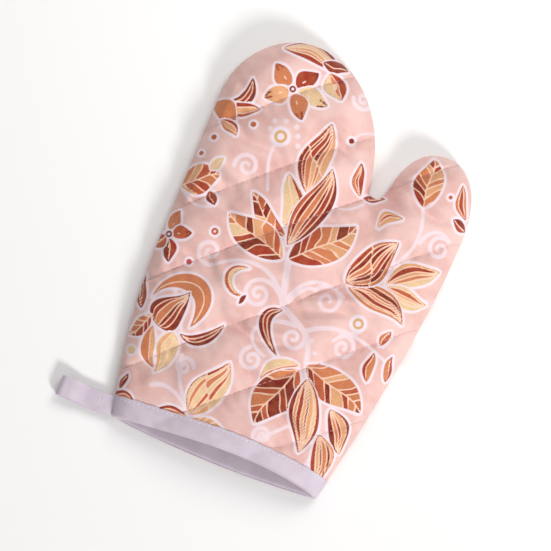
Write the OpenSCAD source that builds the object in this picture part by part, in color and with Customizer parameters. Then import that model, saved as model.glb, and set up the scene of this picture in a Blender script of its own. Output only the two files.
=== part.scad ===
// Quilted oven mitt lying flat with its palm side up: fingers along +Y, thumb towards +X.
// Each wall is a quilted sandwich of printed cover, wadding and lining. The two walls are
// sewn together along the sides, and a folded tape binds the cuff and makes the hanging loop.

/* [Outline] */
// Length from the cuff's edge to the fingertips
mitt_l = 282; // [260:1:310]
// From the cuff's middle to the little-finger edge
palm_reach = 87.3; // [82:0.1:94]
// From the cuff's middle to the thumb's outer edge
thumb_reach = 99.5; // [95:0.1:106]
// Width of the cuff
cuff_w = 142.5; // [134:0.5:150]

/* [Walls] */
// Thickness of the printed cotton cover
cover_t = 0.6; // [0.4:0.1:1]
// Thickness of the wadding
wadding_t = 4; // [3:0.1:5]
// Thickness of the lining
lining_t = 0.6; // [0.4:0.1:1]
// Height of the space between the walls at the middle of the hand
room_h = 16; // [12:0.5:20]
// Width of the pressed seam along the sides
seam_w = 2.5; // [2:0.5:4]

/* [Quilting] */
// Distance between the quilting rows
quilt_pitch = 43; // [35:1:50]
// Slope of the quilting rows
quilt_angle = 43; // [35:1:50]
// Diameter of the sewing thread as it lies in the cloth
thread_d = 0.7; // [0.5:0.1:1]

/* [Binding and loop] */
// Width of the folded tape
tape_w = 13.5; // [11:0.5:14]
// Thickness of one layer of the tape on the cuff
tape_t = 0.8; // [0.6:0.1:1]
// How far the palm side's edge draws back in the middle of the cuff
cuff_arch = 5; // [0:0.5:8]
// Radius of the round eye in the loop's fold
eye_r = 3; // [2.5:0.1:3.5]
// Thickness of one leg of the loop
loop_leg_t = 1.3; // [1:0.1:1.5]
// From the cuff's middle to the loop's far end
loop_reach = 110.2; // [105:0.1:118]

/* [Folds] */
// Height along the mitt of the line where the fingers fold
fold_y = 203.5; // [198:0.5:206]
// Gap between the parts of a wall that fold
fold_gap = 0.4; // [0.3:0.1:0.6]

/* [Hidden] */
print_pink = "#E8C3B6";
tape_lilac = "#D9CADB";
wadding_white = "#F2EFE8";
thread_lilac = "#EADFE8";

cuff_x = cuff_w / 2;
wall_t = cover_t + wadding_t + lining_t;
tip_y = 228 * mitt_l / 282;
thumb_y = 200 * mitt_l / 282;
crotch_l = [30.2, fold_y];
crotch_r = [39.5, fold_y + 0.5];

// Cubic Bezier stretches of the outline, round the mitt from the cuff's left end
left_low = [[-cuff_x, 0], [-0.905 * palm_reach, 34], [-palm_reach, 70], [-palm_reach, 120]];
left_mid = [left_low[3], [-palm_reach, 148], [-palm_reach, 176], [-palm_reach, fold_y]];
left_high = [left_mid[3], [-palm_reach, fold_y + 8], [-palm_reach, tip_y - 8], [-palm_reach, tip_y]];
tip_left = [left_high[3], [-palm_reach, tip_y + 28], [-66, mitt_l], [-38, mitt_l]];
tip_right = [tip_left[3], [-4, mitt_l], [19, mitt_l - 32], [25.5, tip_y - 4]];
finger_inner = [tip_right[3], [27.5, tip_y - 12], [29.8, fold_y + 5.5], crotch_l];
crotch = [crotch_l, [31, fold_y - 4.5], [38, fold_y - 4.7], crotch_r];
thumb_inner = [crotch_r, [42, fold_y + 8.5], [42, fold_y + 14.5], [45, fold_y + 21.5]];
thumb_tip = [thumb_inner[3], [50, fold_y + 34.5], [60, fold_y + 41], [72, fold_y + 41]];
thumb_side = [thumb_tip[3], [88, fold_y + 41], [thumb_reach, thumb_y + 25], [thumb_reach, thumb_y]];
right_side = [[cuff_x, 0], [83, 50], [thumb_reach, 140], [thumb_reach, thumb_y]];
// Where along the right side the thumb's fold ends
thumb_fold_u = 0.83;

function bez(p, u) = pow(1 - u, 3) * p[0] + 3 * pow(1 - u, 2) * u * p[1]
  + 3 * (1 - u) * u * u * p[2] + pow(u, 3) * p[3];
function slope(p, u) = 3 * (pow(1 - u, 2) * (p[1] - p[0]) + 2 * (1 - u) * u * (p[2] - p[1])
  + u * u * (p[3] - p[2]));
function stretch(p, u0, u1, n) = [for (i = [0:n]) bez(p, u0 + (u1 - u0) * i / n)];
function unit(v) = v / norm(v);
function left_of(v) = [-v.y, v.x];
function smooth(v) = let (c = min(1, max(0, v))) c * c * (3 - 2 * c);
function mix(a, b, w) = a * (1 - w) + b * w;

// The thumb folds about the line from the crotch to the outer side
thumb_fold_a = crotch_r;
thumb_fold_b = bez(right_side, thumb_fold_u);
thumb_fold_n = left_of(unit(thumb_fold_b - thumb_fold_a));

// The sewn outline as a line of points, without the open cuff
seam_line = concat(
  stretch(left_low, 0, 1, 10), stretch(left_mid, 0.5, 1, 1), stretch(left_high, 1, 1, 1),
  stretch(tip_left, 0.06, 1, 14), stretch(tip_right, 0.06, 1, 14), stretch(finger_inner, 0.2, 1, 5),
  stretch(crotch, 0.15, 1, 6), stretch(thumb_inner, 0.2, 1, 5), stretch(thumb_tip, 0.12, 1, 8),
  stretch(thumb_side, 0.1, 1, 10), stretch(right_side, 0.95, 0, 14));

function to_segment(p, a, b) = let (
    v = b - a, l2 = v * v, u = l2 > 0 ? min(1, max(0, ((p - a) * v) / l2)) : 0)
  norm(p - a - u * v);
// Distance from a point to the sewn outline
function seam_dist(p) = min([for (i = [0:len(seam_line) - 2])
  to_segment(p, seam_line[i], seam_line[i + 1])]);
function crossings(p) = len([for (i = [0:len(seam_line) - 1]) let (
    a = seam_line[i], b = seam_line[(i + 1) % len(seam_line)])
  if ((a.y > p.y) != (b.y > p.y) && p.x < a.x + (p.y - a.y) * (b.x - a.x) / (b.y - a.y)) i]);
function within(p) = crossings(p) % 2 == 1;

// How far a place belongs to the thumb, from 0 to 1
function thumbness(p) = smooth((p.x - 15) / 45) * smooth((p.y - 110) / 80);
// Height of the space inside: it rises like a quarter of an ellipse from the side seam
function room(p, d) = let (
    t = thumbness(p), reach = mix(mix(60, 50, smooth((p.y - 120) / 80)), 25, t),
    r = min(1, max(0, (d - seam_w) / reach)))
  mix(room_h, 0.8 * room_h, t) * sqrt(1 - (1 - r) * (1 - r));
// The wadding is thin at the side seam and pressed between the layers of the tape
function wad(d, tape) = (wadding_t - 2 * tape) * (0.25 + 0.75 * smooth(d / 9));

// A grid of points that fills a patch between four curves: near, far, left and right
function patch(near, far, left, right, s, t) = [for (i = [0:len(t) - 1]) [for (j = [0:len(s) - 1])
  mix(near[j], far[j], t[i]) + mix(left[i], right[i], s[j])
  - mix(mix(near[0], near[len(s) - 1], s[j]), mix(far[0], far[len(s) - 1], s[j]), t[i])]];
function even(n) = [for (i = [0:n]) i / n];
// Steps from 0 to 1 that are closer together at the end
function closing(n) = [for (i = [0:n]) 1 - pow(1 - i / n, 1.7)];
// Steps from 0 to 1 that are closer together at both ends
function easing(n) = [for (i = [0:n]) mix(i / n, (1 - cos(180 * i / n)) / 2, 0.7)];

// Hand: from the cuff up to the fold lines and the crotch
hand_far = concat(
  [for (s = easing(10)) mix(left_mid[3], crotch_l, s)],
  [for (i = [1:3]) bez(crotch, i / 3)],
  [for (i = [1:7]) mix(thumb_fold_a, thumb_fold_b, easing(7)[i])]);
hand_s = [for (p = hand_far) (p.x - hand_far[0].x) / (thumb_fold_b.x - hand_far[0].x)];
// The first rows of the hand lie under the tape
tape_rows = 2;
hand_t = concat([0, tape_w / 2 / fold_y, tape_w / fold_y, 0.085], [for (i = [1:13]) mix(0.085, 1, i / 13)]);
function left_at(h) = h < 120 ? bez(left_low, low_u(h, left_low, 0, 1, 18)) : [-palm_reach, h];
function low_u(h, curve, a, b, n) = n == 0 ? (a + b) / 2
  : bez(curve, (a + b) / 2).y < h ? low_u(h, curve, (a + b) / 2, b, n - 1)
  : low_u(h, curve, a, (a + b) / 2, n - 1);
function right_at(h) = bez(right_side, low_u(h, right_side, 0, 1, 18));
hand_grid = patch(
  [for (s = hand_s) [mix(-cuff_x, cuff_x, s), 0]], hand_far,
  [for (t = hand_t) left_at(t * fold_y)], [for (t = hand_t) right_at(t * thumb_fold_b.y)],
  hand_s, hand_t);
// The palm side's edge at the cuff draws back in an arch
function edge_back(x) = tape_t + cuff_arch * max(0, 1 - pow(x / cuff_x, 2));
palm_hand_grid = [for (i = [0:len(hand_t) - 1]) [for (p = hand_grid[i])
  p + [0, edge_back(p.x) * pow(1 - hand_t[i], 4)]]];

// Fingers: from the fold line to the fingertips
finger_u = 1 - fold_gap / abs(slope(finger_inner, 1).y);
finger_grid = let (
    n = 9, top = concat(stretch(tip_left, 0, 1, 8), [for (i = [1:8]) bez(tip_right, i / 8)]),
    s = easing(16), t = closing(n), base_l = [-palm_reach, fold_y + fold_gap],
    base_r = bez(finger_inner, finger_u))
  patch([for (v = s) mix(base_l, base_r, v)], top, [for (v = t) mix(base_l, left_high[3], v)],
    [for (v = t) bez(finger_inner, finger_u * (1 - v))], s, t);

// Thumb: from its fold line to its tip
thumb_u0 = fold_gap / (slope(thumb_inner, 0) * thumb_fold_n);
thumb_u1 = thumb_fold_u + fold_gap / (slope(right_side, thumb_fold_u) * thumb_fold_n);
thumb_grid = let (
    n = 7, top = concat(stretch(thumb_tip, 0, 1, 6), [for (i = [1:6]) bez(thumb_side, i / 6)]),
    s = easing(12), t = closing(n))
  patch([for (v = s) mix(bez(thumb_inner, thumb_u0), bez(right_side, thumb_u1), v)], top,
    [for (v = t) bez(thumb_inner, mix(thumb_u0, 1, v))],
    [for (v = t) bez(right_side, mix(thumb_u1, 1, v))], s, t);

// Heights of the palm wall's five surfaces over a grid: level 0 is the tape's inner side,
// 1 the lining, 2 the wadding, 3 the cover, 4 the cover's outside and 5 the tape's outside
function level(k, p, tape) = let (d = seam_dist(p))
  wall_t + room(p, d) + (k > 0 ? tape : 0) + (k > 1 ? lining_t : 0)
  + (k > 2 ? wad(d, tape) : 0) + (k > 3 ? cover_t : 0) + (k > 4 ? tape : 0);
function levels(k, grid, rows) = [for (i = [0:len(grid) - 1]) [for (p = grid[i])
  level(k, p, i < rows ? tape_t : 0)]];

// Moves the mitt so that the origin is at the middle of its foot
module placed() {
  translate([(loop_reach - thumb_reach) / 2, -mitt_l / 2, 0]) children();
}

// A solid between two height maps over one grid
module slab(grid, low, high) {
  n = len(grid);
  m = len(grid[0]);
  function id(top, i, j) = (top * n + i) * m + j;
  function side(a, b) = [[n * m + b, n * m + a, a], [n * m + b, a, b]];
  points = [for (z = [low, high]) for (i = [0:n - 1]) for (j = [0:m - 1])
    [grid[i][j].x, grid[i][j].y, z[i][j]]];
  sheets = [for (i = [0:n - 2]) for (j = [0:m - 2]) each [
    [id(1, i, j), id(1, i + 1, j), id(1, i + 1, j + 1)], [id(1, i, j), id(1, i + 1, j + 1), id(1, i, j + 1)],
    [id(0, i, j), id(0, i + 1, j + 1), id(0, i + 1, j)], [id(0, i, j), id(0, i, j + 1), id(0, i + 1, j + 1)]]];
  rim = concat(
    [for (i = [0:n - 2]) each side(id(0, i, 0), id(0, i + 1, 0))],
    [for (j = [0:m - 2]) each side(id(0, n - 1, j), id(0, n - 1, j + 1))],
    [for (i = [0:n - 2]) each side(id(0, i + 1, m - 1), id(0, i, m - 1))],
    [for (j = [0:m - 2]) each side(id(0, 0, j + 1), id(0, 0, j))]);
  polyhedron(points, concat(sheets, rim));
}

// One layer of the palm wall between two of its levels
module palm_layer(grid, k, rows = 0) {
  slab(grid, levels(k, grid, rows), levels(k + 1, grid, rows));
}

// The border of a grid as a closed list of points
function border(g) = let (n = len(g) - 1, m = len(g[0]) - 1) concat(
  [for (j = [0:m]) g[0][j]], [for (i = [1:n]) g[i][m]],
  [for (j = [1:m]) g[n][m - j]], [for (i = [1:n - 1]) g[n - i][0]]);

// A flat layer of the back wall
module back_layer(grid, low, high) {
  translate([0, 0, low]) linear_extrude(high - low) polygon(border(grid));
}

// A layer of the back wall of the hand, which the tape presses together at the cuff
module back_hand_layer(low, high, tape_low, tape_high) {
  ramp = 3;
  intersection() {
    linear_extrude(wall_t) polygon(border(hand_grid));
    translate([-150, 0, 0]) rotate([90, 0, 90]) linear_extrude(300) polygon([
      [tape_t, tape_low], [tape_w, tape_low], [tape_w + ramp, low], [mitt_l, low],
      [mitt_l, high], [tape_w + ramp, high], [tape_w, tape_high], [tape_t, tape_high]]);
  }
}

// A thread: a thin tube along a line of points in space
module thread(path) {
  sides = 6;
  n = len(path) - 1;
  function way(i) = unit(path[min(n, i + 1)] - path[max(0, i - 1)]);
  function ring(i) = let (w = way(i), u = unit([-w.y, w.x, 0]), v = cross(w, u))
    [for (k = [0:sides - 1]) path[i] + thread_d / 2 * (cos(360 * k / sides) * u + sin(360 * k / sides) * v)];
  points = [for (i = [0:n]) each ring(i)];
  skin = [for (i = [0:n - 1]) for (k = [0:sides - 1]) let (
      a = i * sides + k, b = i * sides + (k + 1) % sides)
    each [[a, a + sides, b + sides], [a, b + sides, b]]];
  ends = [[for (k = [0:sides - 1]) k], [for (k = [0:sides - 1]) n * sides + sides - 1 - k]];
  polyhedron(points, concat(skin, ends));
}

// Quilting rows slope up from the little-finger side to the thumb side
quilt_dir = [cos(quilt_angle), sin(quilt_angle)];
first_row = 31;
// The row that ends in the crotch stands this much further up than the others
crotch_row_up = 5.5;
quilt_step = 7;
function row_c(k) = first_row + k * quilt_pitch + (k == 2 ? crotch_row_up : 0);
function on_row(k, i) = row_c(k) * left_of(quilt_dir) + i * quilt_step * quilt_dir;
function past_thumb_fold(p) = (p - thumb_fold_a) * thumb_fold_n;
function in_hand(p) = p.y > tape_w + 5 && p.y < fold_y - 2 && (p.x < crotch_l.x || past_thumb_fold(p) < -2);
function in_fingers(p) = p.y > fold_y + 2 && p.x < crotch_l.x + 2;
function in_thumb(p) = p.x > crotch_r.x && past_thumb_fold(p) > 2;
function row_points(k, part) = [for (i = [-18:36]) let (p = on_row(k, i))
  if (within(p) && seam_dist(p) > 4
    && (part == 0 ? in_hand(p) : part == 1 ? in_fingers(p) : in_thumb(p))) p];
quilt_rows = [-2:4];

module palm_quilting(part) {
  color(thread_lilac) placed() for (k = quilt_rows) {
    row = row_points(k, part);
    if (len(row) > 2) thread([for (p = row) [p.x, p.y, level(4, p, 0)]]);
  }
}

module back_quilting(part) {
  color(thread_lilac) placed() for (k = quilt_rows) {
    row = row_points(k, part);
    if (len(row) > 2) translate([row[0].x, row[0].y, thread_d / 2]) rotate([0, 90, quilt_angle])
      cylinder(d = thread_d, h = norm(row[len(row) - 1] - row[0]), $fn = 24);
  }
}

// The side seam's thread runs just inside the outline, between the two linings
function inset(line) = let (n = len(line) - 1) [for (i = [0:n]) let (
    w = unit(line[min(n, i + 1)] - line[max(0, i - 1)]), p = line[i] - 1.2 * left_of(w)) [p.x, p.y, wall_t]];
// Without the last point at each end, so that the thread stays inside its own part
function trimmed(line) = [for (i = [1:len(line) - 2]) line[i]];
module seam_thread(line) {
  color(thread_lilac) placed() thread(trimmed(inset(line)));
}

// The part of a wall's grid that lies under the tape, with one row more at the folded edge
module binding_strip(low_level, high_level, last_row) {
  fold = [for (p = palm_hand_grid[0]) p - [0, tape_t]];
  grid = concat([fold], [for (i = [0:last_row]) palm_hand_grid[i]]);
  function heights(k) = [for (i = [0:len(grid) - 1]) [for (p = grid[max(1, i)]) level(k, p, tape_t)]];
  slab(grid, heights(low_level), heights(high_level));
}

// The hanging loop turns about this line at its root
loop_root_r = loop_leg_t + 0.4;
loop_z = eye_r + loop_leg_t;
loop_eye_x = -loop_reach + loop_z;
loop_hinge_x = -79;
loop_gap = 0.4;
// Where the binding's tab at the loop's root ends
tab_x = loop_hinge_x + loop_root_r + loop_gap;

module palm_cover_hand() { color(print_pink) placed() palm_layer(palm_hand_grid, 3, tape_rows + 1); }
module palm_cover_fingers() { color(print_pink) placed() palm_layer(finger_grid, 3); }
module palm_cover_thumb() { color(print_pink) placed() palm_layer(thumb_grid, 3); }
module palm_wadding_hand() { color(wadding_white) placed() palm_layer(palm_hand_grid, 2, tape_rows + 1); }
module palm_wadding_fingers() { color(wadding_white) placed() palm_layer(finger_grid, 2); }
module palm_wadding_thumb() { color(wadding_white) placed() palm_layer(thumb_grid, 2); }
module palm_lining_hand() { color(tape_lilac) placed() palm_layer(palm_hand_grid, 1, tape_rows + 1); }
module palm_lining_fingers() { color(tape_lilac) placed() palm_layer(finger_grid, 1); }
module palm_lining_thumb() { color(tape_lilac) placed() palm_layer(thumb_grid, 1); }

module back_cover_hand() {
  color(print_pink) placed() back_hand_layer(0, cover_t, tape_t, tape_t + cover_t);
}
module back_wadding_hand() {
  color(wadding_white) placed()
    back_hand_layer(cover_t, wall_t - lining_t, tape_t + cover_t, wall_t - tape_t - lining_t);
}
module back_lining_hand() {
  color(tape_lilac) placed()
    back_hand_layer(wall_t - lining_t, wall_t, wall_t - tape_t - lining_t, wall_t - tape_t);
}
module back_cover_fingers() { color(print_pink) placed() back_layer(finger_grid, 0, cover_t); }
module back_cover_thumb() { color(print_pink) placed() back_layer(thumb_grid, 0, cover_t); }
module back_wadding_fingers() {
  color(wadding_white) placed() back_layer(finger_grid, cover_t, wall_t - lining_t);
}
module back_wadding_thumb() {
  color(wadding_white) placed() back_layer(thumb_grid, cover_t, wall_t - lining_t);
}
module back_lining_fingers() {
  color(tape_lilac) placed() back_layer(finger_grid, wall_t - lining_t, wall_t);
}
module back_lining_thumb() {
  color(tape_lilac) placed() back_layer(thumb_grid, wall_t - lining_t, wall_t);
}

module side_seam_hand() {
  seam_thread([for (h = [tape_w + 6:12:fold_y]) left_at(h)]);
  seam_thread(stretch(crotch, 0, 1, 8));
  seam_thread([for (h = [thumb_fold_b.y:-11:tape_w + 6]) right_at(h)]);
}
module side_seam_fingers() {
  seam_thread(concat(stretch(left_high, 0, 0.9, 4), stretch(tip_left, 0, 0.95, 14),
    stretch(tip_right, 0, 0.95, 14), stretch(finger_inner, 0, finger_u, 5)));
}
module side_seam_thumb() {
  seam_thread(concat(stretch(thumb_inner, 0, 0.8, 5), stretch(thumb_tip, 0, 0.9, 8),
    stretch(thumb_side, 0, 0.9, 9), stretch(right_side, 1, thumb_fold_u, 4)));
}

// The tape is folded over the edges of both walls and runs out at the left into the loop's root
module cuff_binding() {
  color(tape_lilac) placed() {
    binding_strip(0, 1, tape_rows);
    binding_strip(4, 5, tape_rows);
    binding_strip(0, 5, 0);
    intersection() {
      linear_extrude(wall_t) polygon(border(hand_grid));
      translate([-150, 0, 0]) rotate([90, 0, 90]) linear_extrude(300) polygon([
        [0, 0], [tape_w, 0], [tape_w, tape_t], [tape_t, tape_t], [tape_t, wall_t - tape_t],
        [tape_w, wall_t - tape_t], [tape_w, wall_t], [0, wall_t]]);
    }
    translate([0, 0, loop_z - loop_root_r]) linear_extrude(2 * loop_root_r) polygon(concat(
      [[tab_x, tape_w], [tab_x, 0]], [for (i = [0:tape_rows]) hand_grid[i][0]]));
  }
}

// One row of stitches holds the tape on each wall
module binding_stitching() {
  inset_x = 6;
  row_y = tape_w - 2;
  row = [for (i = [0:30]) let (x = mix(-cuff_x + inset_x, cuff_x - inset_x, i / 30)) [x, row_y + edge_back(x)]];
  color(thread_lilac) placed() {
    thread([for (p = row) [p.x, p.y, level(5, p, tape_t)]]);
    translate([-cuff_x + inset_x, row_y, thread_d / 2]) rotate([0, 90, 0])
      cylinder(d = thread_d, h = cuff_w - 2 * inset_x, $fn = 24);
  }
}

// The tape is doubled back on itself: two legs and a round eye where it folds
module hanging_loop() {
  slit = 0.8;
  sewn_l = 6;
  color(tape_lilac) placed() translate([0, tape_w, loop_z]) rotate([90, 0, 0]) linear_extrude(tape_w)
    difference() {
      union() {
        translate([loop_eye_x, 0]) circle(r = loop_z, $fn = 64);
        translate([loop_eye_x, -loop_root_r]) square([loop_hinge_x - loop_eye_x, 2 * loop_root_r]);
        translate([loop_hinge_x, 0]) circle(r = loop_root_r, $fn = 48);
      }
      translate([loop_eye_x, 0]) circle(r = eye_r, $fn = 64);
      translate([loop_eye_x, -slit / 2]) square([loop_hinge_x - loop_eye_x - sewn_l, slit]);
    }
}

// Two short rows of stitches hold the loop's two layers together at its root
module loop_stitching() {
  margin = 2;
  color(thread_lilac) placed() for (x = [loop_hinge_x - 1.5, loop_hinge_x - 4])
    for (z = [loop_z - loop_root_r, loop_z + loop_root_r])
      translate([x, tape_w - margin, z]) rotate([90, 0, 0])
        cylinder(d = thread_d, h = tape_w - 2 * margin, $fn = 24);
}

palm_cover_hand();
palm_cover_fingers();
palm_cover_thumb();
palm_wadding_hand();
palm_wadding_fingers();
palm_wadding_thumb();
palm_lining_hand();
palm_lining_fingers();
palm_lining_thumb();
back_cover_hand();
back_cover_fingers();
back_cover_thumb();
back_wadding_hand();
back_wadding_fingers();
back_wadding_thumb();
back_lining_hand();
back_lining_fingers();
back_lining_thumb();
palm_quilting(0);  // palm_quilting_hand
palm_quilting(1);  // palm_quilting_fingers
palm_quilting(2);  // palm_quilting_thumb
back_quilting(0);  // back_quilting_hand
back_quilting(1);  // back_quilting_fingers
back_quilting(2);  // back_quilting_thumb
side_seam_hand();
side_seam_fingers();
side_seam_thumb();
cuff_binding();
binding_stitching();
hanging_loop();
loop_stitching();
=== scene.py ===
"""Quilted oven mitt lying palm side up: printed cotton covers over wadding, a lining, a folded
cuff binding and a hanging loop of the same tape.

Shapes are worked out in millimetres on the mitt's own plan: x from the cuff's middle towards the
thumb, y from the cuff's edge towards the fingertips, z up from the surface that it lies on."""
import math

import bpy
import numpy as np
from mathutils import Matrix, Vector


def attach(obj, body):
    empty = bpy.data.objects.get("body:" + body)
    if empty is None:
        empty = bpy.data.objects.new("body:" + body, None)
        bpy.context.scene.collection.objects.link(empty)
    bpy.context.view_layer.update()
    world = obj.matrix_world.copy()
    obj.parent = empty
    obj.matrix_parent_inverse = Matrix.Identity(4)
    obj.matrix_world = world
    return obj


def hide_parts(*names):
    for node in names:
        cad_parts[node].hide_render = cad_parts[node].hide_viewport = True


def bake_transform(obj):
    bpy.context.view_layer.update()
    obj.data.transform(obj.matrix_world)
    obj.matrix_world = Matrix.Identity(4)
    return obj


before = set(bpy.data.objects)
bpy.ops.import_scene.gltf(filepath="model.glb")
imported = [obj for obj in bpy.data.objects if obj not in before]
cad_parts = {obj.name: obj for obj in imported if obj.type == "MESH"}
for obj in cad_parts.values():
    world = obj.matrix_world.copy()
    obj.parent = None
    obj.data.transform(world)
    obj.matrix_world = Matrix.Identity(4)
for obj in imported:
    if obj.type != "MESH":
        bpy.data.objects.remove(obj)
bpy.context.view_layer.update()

# ---------------------------------------------------------------- driving sizes, mm
MITT_L = 282.0
PALM_REACH = 87.3
THUMB_REACH = 99.5
CUFF_X = 71.25
FOLD_Y = 203.5
COVER_T, WADDING_T, LINING_T = 0.6, 4.0, 0.6
WALL_T = COVER_T + WADDING_T + LINING_T
ROOM_H = 16.0
SEAM_W, SEAM_THREAD_R = 2.5, 0.35
TAPE_W, TAPE_T = 13.5, 0.8
CUFF_ARCH, BACK_BOW = 5.0, 3.6
QUILT_PITCH, QUILT_ANGLE, FIRST_ROW = 43.0, math.radians(43), 31.0
LOOP_REACH, EYE_R, LOOP_LEG_T = 110.2, 3.0, 1.3
ORIGIN = np.array([(THUMB_REACH - LOOP_REACH) / 2, MITT_L / 2, 0.0])

# Cloth grid: spacing of the covers' threads of vertices
STEP = 0.79
EDGE_ROUND = 7.0


def to_frame(points):
    """Mitt millimetres to the frame's metres."""
    return (np.asarray(points, float) - ORIGIN) / 1000


# ---------------------------------------------------------------- small maths
def mix(a, b, w):
    """From a to b as w goes from 0 to 1."""
    return a * (1 - w) + b * w


def smooth(v):
    """Smooth step from 0 to 1: 3c squared less 2c cubed, with c held between 0 and 1."""
    c = np.clip(v, 0, 1)
    return c * c * (3 - 2 * c)


def bezier(p, n):
    """n steps along a cubic Bezier curve with control points p."""
    t = np.linspace(0, 1, n + 1)[:, None]
    p = np.array(p, float)
    return (1 - t) ** 3 * p[0] + 3 * (1 - t) ** 2 * t * p[1] + 3 * (1 - t) * t * t * p[2] + t ** 3 * p[3]


# Corners and handles of the sewn outline's curves, from the cuff's left end round to its right end
THUMB_ROOT = (39.5, 204)
OUTLINE = [
    (-CUFF_X, 0), (-79, 34), (-PALM_REACH, 70), (-PALM_REACH, 120), (-PALM_REACH, 156), (-PALM_REACH, 192),
    (-PALM_REACH, 228), (-PALM_REACH, 256), (-66, MITT_L), (-38, MITT_L), (-4, MITT_L), (19, 250),
    (25.5, 224), (27.5, 216), (29.8, 209), (30.2, FOLD_Y), (31, 199), (38, 198.8), THUMB_ROOT, (42, 212),
    (42, 218), (45, 225), (50, 238), (60, 244.5), (72, 244.5), (88, 244.5), (THUMB_REACH, 225),
    (THUMB_REACH, 200), (THUMB_REACH, 140), (83, 50), (CUFF_X, 0)]
CURVES = [OUTLINE[k:k + 4] for k in range(0, len(OUTLINE) - 1, 3)]
SEAM = np.concatenate([bezier(curve, 26)[:-1] for curve in CURVES] + [[OUTLINE[-1]]])


def line_distance(line, x, y):
    """Distance from each place to the nearest point of a line of points."""
    best = np.full(np.shape(x), 1e9)
    for (ax, ay), (bx, by) in zip(line[:-1], line[1:]):
        dx, dy = bx - ax, by - ay
        t = np.clip(((x - ax) * dx + (y - ay) * dy) / max(dx * dx + dy * dy, 1e-12), 0, 1)
        best = np.minimum(best, (x - ax - t * dx) ** 2 + (y - ay - t * dy) ** 2)
    return np.sqrt(best)


def within(line, x, y):
    """True where a place is inside the closed line: a ray from it crosses the line an odd number of times."""
    odd = np.zeros(np.shape(x), bool)
    for (ax, ay), (bx, by) in zip(line, np.roll(line, -1, axis=0)):
        if ay != by:
            odd ^= ((ay > y) != (by > y)) & (x < ax + (y - ay) * (bx - ax) / (by - ay))
    return odd


# ---------------------------------------------------------------- the cloth grid
grid_x = np.arange(-92.4, 104.5, STEP)
grid_y = np.arange(0, 288, STEP)
U, V = np.meshgrid(grid_x, grid_y)
seam_far = line_distance(SEAM, U, V) * np.where(within(SEAM, U, V), 1, -1)
slope_y, slope_x = np.gradient(seam_far, STEP)
slope_len = np.maximum(np.hypot(slope_x, slope_y), 1e-6)
INWARD = np.stack([slope_x / slope_len, slope_y / slope_len], -1)


def across_rows(x, y):
    """How far a place lies across the quilting rows, from the row through the cuff's middle."""
    return -x * math.sin(QUILT_ANGLE) + y * math.cos(QUILT_ANGLE)


quilt_c = across_rows(U, V)
quilt_s = U * math.cos(QUILT_ANGLE) + V * math.sin(QUILT_ANGLE)

# The panels are parted along the quilting row that ends in the crotch, left of PART_X
CROTCH, PART_X = (34.9, 200.1), 36.6
PART_C = across_rows(*CROTCH)
ROWS = FIRST_ROW + QUILT_PITCH * np.arange(-2, 6)
PART_ROW = 4
ROWS[PART_ROW] = PART_C
row_number = np.argmin(np.abs(quilt_c[..., None] - ROWS), axis=-1)
row_q = quilt_c - ROWS[row_number]
on_finger_side = U < PART_X
upper_far = np.where(on_finger_side, np.minimum(seam_far, quilt_c - PART_C), -9.0)
lower_far = np.where(on_finger_side, np.minimum(seam_far, PART_C - quilt_c), seam_far)

# At the cuff the palm side's edge is drawn back, most a little to the thumb's side, and the back's bows out
cuff_t = U / CUFF_X
cuff_bow = np.maximum(0, 1 - cuff_t ** 2)
palm_slide = (TAPE_T + 1.15 * CUFF_ARCH * cuff_bow * (1 + 0.5 * cuff_t)) * np.clip(1 - V / FOLD_Y, 0, 1) ** 4
back_slide = TAPE_T * np.clip(1 - V / 20, 0, 1) - BACK_BOW * cuff_bow * np.clip(1 - V / 60, 0, 1) ** 2


def room(x, y, d):
    """Height of the space inside: near a quarter ellipse up from the side seam, lower in the thumb."""
    thumb = smooth((x - 15) / 45) * smooth((y - 110) / 80)
    reach = mix(mix(60, 50, smooth((y - 120) / 80)), 25, thumb)
    r = np.clip((d - SEAM_W) / reach, 0, 1)
    return mix(ROOM_H, 0.8 * ROOM_H, thumb) * (1 - (1 - r) ** 2) ** 0.56


# Snap the vertices nearest an edge onto it
near_seam = np.abs(seam_far) < 0.5 * STEP
plan = np.stack([U, V], -1) - INWARD * np.where(near_seam, seam_far, 0)[..., None]
deep = np.where(near_seam, 0, np.maximum(seam_far, 0))
near_part = (np.abs(quilt_c - PART_C) < 0.5 * STEP) & on_finger_side & (seam_far > 0.5 * STEP)
ACROSS = np.array([-math.sin(QUILT_ANGLE), math.cos(QUILT_ANGLE)])
plan = plan - ACROSS * np.where(near_part, quilt_c - PART_C, 0)[..., None]

# Round the edge: the cloth starts at the seam, bulges out and turns over
edge_t = np.clip(deep / EDGE_ROUND, 0, 1)
edge_in = EDGE_ROUND * (2 * edge_t ** 2 - edge_t ** 3)
seam_valley = 0.9 * np.clip(1 - 3.2 * edge_t, 0, 1) ** 2
cover_plan = plan + INWARD * (np.where(edge_t < 1, edge_in + seam_valley, deep) - deep)[..., None]


def soft_bend(q, width):
    """A valley: 1 on the line and falling off like an exponential, with a bottom 0.7 mm round."""
    return np.exp(-(np.sqrt(q * q + 0.49) - 0.7) / width)


def panel(flat, slide, z):
    """The places of a layer from its plan, the slide of its edge at the cuff and its height."""
    return np.stack([flat[..., 0], flat[..., 1] + slide, z], -1)


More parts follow.
